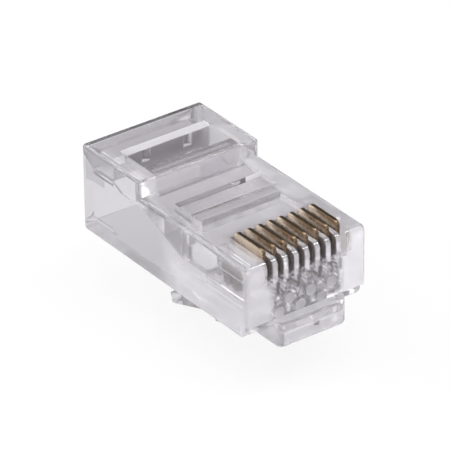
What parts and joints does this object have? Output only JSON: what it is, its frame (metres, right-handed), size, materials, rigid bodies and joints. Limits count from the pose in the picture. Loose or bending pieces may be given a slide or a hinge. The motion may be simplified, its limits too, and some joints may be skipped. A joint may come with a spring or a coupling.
{
  "type": "modular plug",
  "caption": "Clear modular network plug, not yet crimped: a one-piece body with a sprung latch below, clamp bars above the cable cavity and a row of gold-plated contacts.",
  "frame": {"origin": "middle of the nose face, at the level of the underside of the body", "axes": "-Y out of the nose into the jack, +Y towards the cable, +Z towards the contacts, latch below"},
  "size_m": [0.0116, 0.0229, 0.0133],
  "materials": {
    "clear_polycarbonate": "clear, polished as moulded",
    "gold_contact": "gold-plated stamped blade"
  },
  "bodies": {
    "housing": {"housing": "clear_polycarbonate"},
    "latch_tab": {"latch_tab": "clear_polycarbonate"},
    "jacket_clamp": {"jacket_clamp": "clear_polycarbonate"},
    "conductor_clamp": {"conductor_clamp": "clear_polycarbonate"},
    "contact_1": {"contact_1": "gold_contact"},
    "contact_2": {"contact_2": "gold_contact"},
    "contact_3": {"contact_3": "gold_contact"},
    "contact_4": {"contact_4": "gold_contact"},
    "contact_5": {"contact_5": "gold_contact"},
    "contact_6": {"contact_6": "gold_contact"},
    "contact_7": {"contact_7": "gold_contact"},
    "contact_8": {"contact_8": "gold_contact"}
  },
  "joints": [
    {"name": "latch_flex", "type": "hinge", "parent": "housing", "child": "latch_tab", "pos_m": [0, 0.0027, -0.00072], "axis": [1, 0, 0], "range_deg": [0, 15], "stiffness_Nm_per_rad": 0.2},
    {"name": "jacket_clamp_press", "type": "hinge", "parent": "housing", "child": "jacket_clamp", "pos_m": [0, 0.0143, 0.00572], "axis": [-1, 0, 0], "range_deg": [0, 30]},
    {"name": "conductor_clamp_press", "type": "slide", "parent": "housing", "child": "conductor_clamp", "axis": [0, 0, -1], "range_m": [0, 0.0009]},
    {"name": "contact_1_crimp", "type": "slide", "parent": "housing", "child": "contact_1", "axis": [0, 0, -1], "range_m": [0, 0.0011]},
    {"name": "contact_2_crimp", "type": "slide", "parent": "housing", "child": "contact_2", "axis": [0, 0, -1], "range_m": [0, 0.0011]},
    {"name": "contact_3_crimp", "type": "slide", "parent": "housing", "child": "contact_3", "axis": [0, 0, -1], "range_m": [0, 0.0011]},
    {"name": "contact_4_crimp", "type": "slide", "parent": "housing", "child": "contact_4", "axis": [0, 0, -1], "range_m": [0, 0.0011]},
    {"name": "contact_5_crimp", "type": "slide", "parent": "housing", "child": "contact_5", "axis": [0, 0, -1], "range_m": [0, 0.0011]},
    {"name": "contact_6_crimp", "type": "slide", "parent": "housing", "child": "contact_6", "axis": [0, 0, -1], "range_m": [0, 0.0011]},
    {"name": "contact_7_crimp", "type": "slide", "parent": "housing", "child": "contact_7", "axis": [0, 0, -1], "range_m": [0, 0.0011]},
    {"name": "contact_8_crimp", "type": "slide", "parent": "housing", "child": "contact_8", "axis": [0, 0, -1], "range_m": [0, 0.0011]}
  ],
  "couplings": [
    {"joint": "contact_2_crimp", "follows": "contact_1_crimp", "ratio": 1},
    {"joint": "contact_3_crimp", "follows": "contact_1_crimp", "ratio": 1},
    {"joint": "contact_4_crimp", "follows": "contact_1_crimp", "ratio": 1},
    {"joint": "contact_5_crimp", "follows": "contact_1_crimp", "ratio": 1},
    {"joint": "contact_6_crimp", "follows": "contact_1_crimp", "ratio": 1},
    {"joint": "contact_7_crimp", "follows": "contact_1_crimp", "ratio": 1},
    {"joint": "contact_8_crimp", "follows": "contact_1_crimp", "ratio": 1}
  ]
}
